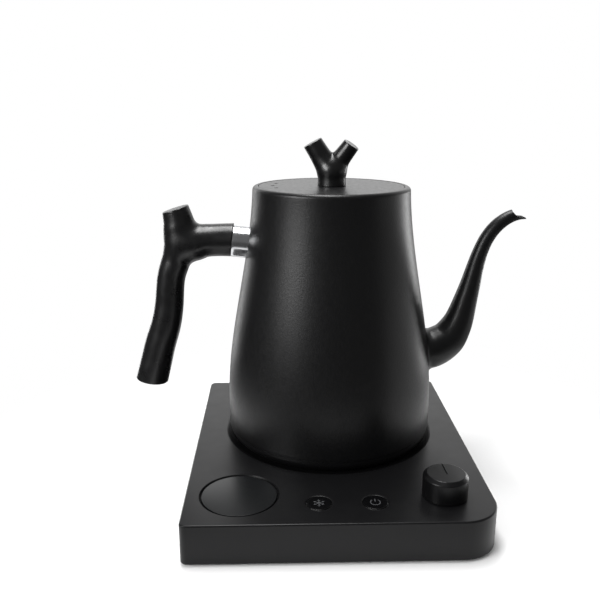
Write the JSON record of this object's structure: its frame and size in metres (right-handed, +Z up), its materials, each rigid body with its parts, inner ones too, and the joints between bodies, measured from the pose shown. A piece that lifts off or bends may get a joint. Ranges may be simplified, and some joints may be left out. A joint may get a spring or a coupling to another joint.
{
  "type": "electric kettle",
  "caption": "Cordless gooseneck electric kettle with a branch-shaped handle and lid knob, on a square power base with display, buttons and dial.",
  "frame": {"origin": "middle of the power base's footprint, on the table, with the kettle seated on its base", "axes": "+X towards the spout's tip (the handle is at -X), -Y towards the side with the controls, +Z up"},
  "size_m": [0.2592, 0.2055, 0.2222],
  "materials": {
    "powder_coat": "fine-textured matte black powder coat on stainless steel",
    "case_plastic": "fine-grained matte black ABS, moulded",
    "cover_plastic": "satin black polypropylene, moulded",
    "connector_plastic": "matte black heat-resistant nylon, moulded",
    "grip_plastic": "softly glossy black phenolic, cast in a hand-carved branch shape",
    "button_plastic": "gloss black polycarbonate with a printed mark",
    "window_plastic": "smoked black acrylic, satin on its face",
    "dial_plastic": "satin black ABS with a bright turned bevel",
    "polished_steel": "polished stainless steel",
    "plain_steel": "bare stainless steel, drawn",
    "screw_steel": "zinc-plated steel",
    "aluminium": "die-cast aluminium",
    "brass": "silvered brass strip",
    "silicone": "matte grey-black silicone",
    "rubber_foot": "matte black rubber",
    "wire": "silicone-covered wire",
    "board": "green glass-fibre circuit board",
    "relay_plastic": "blue moulded relay case",
    "coil": "yellow taped coil",
    "capacitor_plastic": "brown and black component cases",
    "terminal_plastic": "cream nylon"
  },
  "bodies": {
    "base": {"base_shell": "case_plastic", "bottom_plate": "case_plastic", "base_feet": "rubber_foot", "case_screws": "screw_steel", "cord_gland": "rubber_foot", "centre_dome": "case_plastic", "dome_screws": "screw_steel", "connector_housing": "connector_plastic", "connector_contacts": "brass", "earth_spring": "plain_steel", "connector_screws": "screw_steel", "connector_leads": "wire", "display_window": "window_plastic", "display_module": "terminal_plastic", "control_board": "board", "board_screws": "screw_steel", "encoder_housing": "plain_steel", "encoder_nut": "screw_steel", "tact_switches": "connector_plastic", "power_board": "board", "power_board_screws": "screw_steel", "relay": "relay_plastic", "transformer": "coil", "capacitors": "capacitor_plastic", "terminal_block": "terminal_plastic", "ribbon_cable": "terminal_plastic"},
    "dial": {"dial_knob": "dial_plastic", "dial_shaft": "plain_steel"},
    "power_button": {"power_button": "button_plastic", "power_plunger": "terminal_plastic"},
    "hold_button": {"hold_button": "button_plastic", "hold_plunger": "terminal_plastic"},
    "socket": {"socket_housing": "connector_plastic", "socket_contacts": "brass"},
    "kettle": {"vessel_shell": "powder_coat", "heating_plate": "plain_steel", "heat_spreader": "aluminium", "heating_element": "plain_steel", "element_terminals": "plain_steel", "control_block": "connector_plastic", "control_screws": "screw_steel", "bimetal_discs": "brass", "temperature_probe": "plain_steel", "probe_grommet": "silicone", "kettle_leads": "wire", "cover_posts": "plain_steel", "cover_screws": "screw_steel", "bottom_cover": "cover_plastic", "seam_gasket": "silicone", "spout": "powder_coat", "handle_stud": "plain_steel", "handle_ferrule": "polished_steel", "handle_insert": "brass", "handle_grip": "grip_plastic"},
    "lid": {"lid_disc": "powder_coat", "lid_liner": "plain_steel", "lid_seal": "silicone", "lid_knob": "grip_plastic", "lid_knob_screw": "screw_steel"}
  },
  "joints": [
    {"name": "kettle_lift", "type": "slide", "parent": "base", "child": "socket", "axis": [0, 0, 1], "range_m": [0, 0.074]},
    {"name": "kettle_turn", "type": "hinge", "parent": "socket", "child": "kettle", "pos_m": [0, 0.022, 0.0322], "axis": [0, 0, 1], "continuous": true},
    {"name": "lid_lift", "type": "slide", "parent": "kettle", "child": "lid", "axis": [0, 0, 1], "range_m": [0, 0.08]},
    {"name": "dial_turn", "type": "hinge", "parent": "base", "child": "dial", "pos_m": [0.06075, -0.074, 0.0255], "axis": [0, 0, 1], "continuous": true},
    {"name": "power_press", "type": "slide", "parent": "base", "child": "power_button", "axis": [0, 0, -1], "range_m": [0, 0.0008], "stiffness_N_per_m": 400, "springref_m": -0.0005},
    {"name": "hold_press", "type": "slide", "parent": "base", "child": "hold_button", "axis": [0, 0, -1], "range_m": [0, 0.0008], "stiffness_N_per_m": 400, "springref_m": -0.0005}
  ]
}
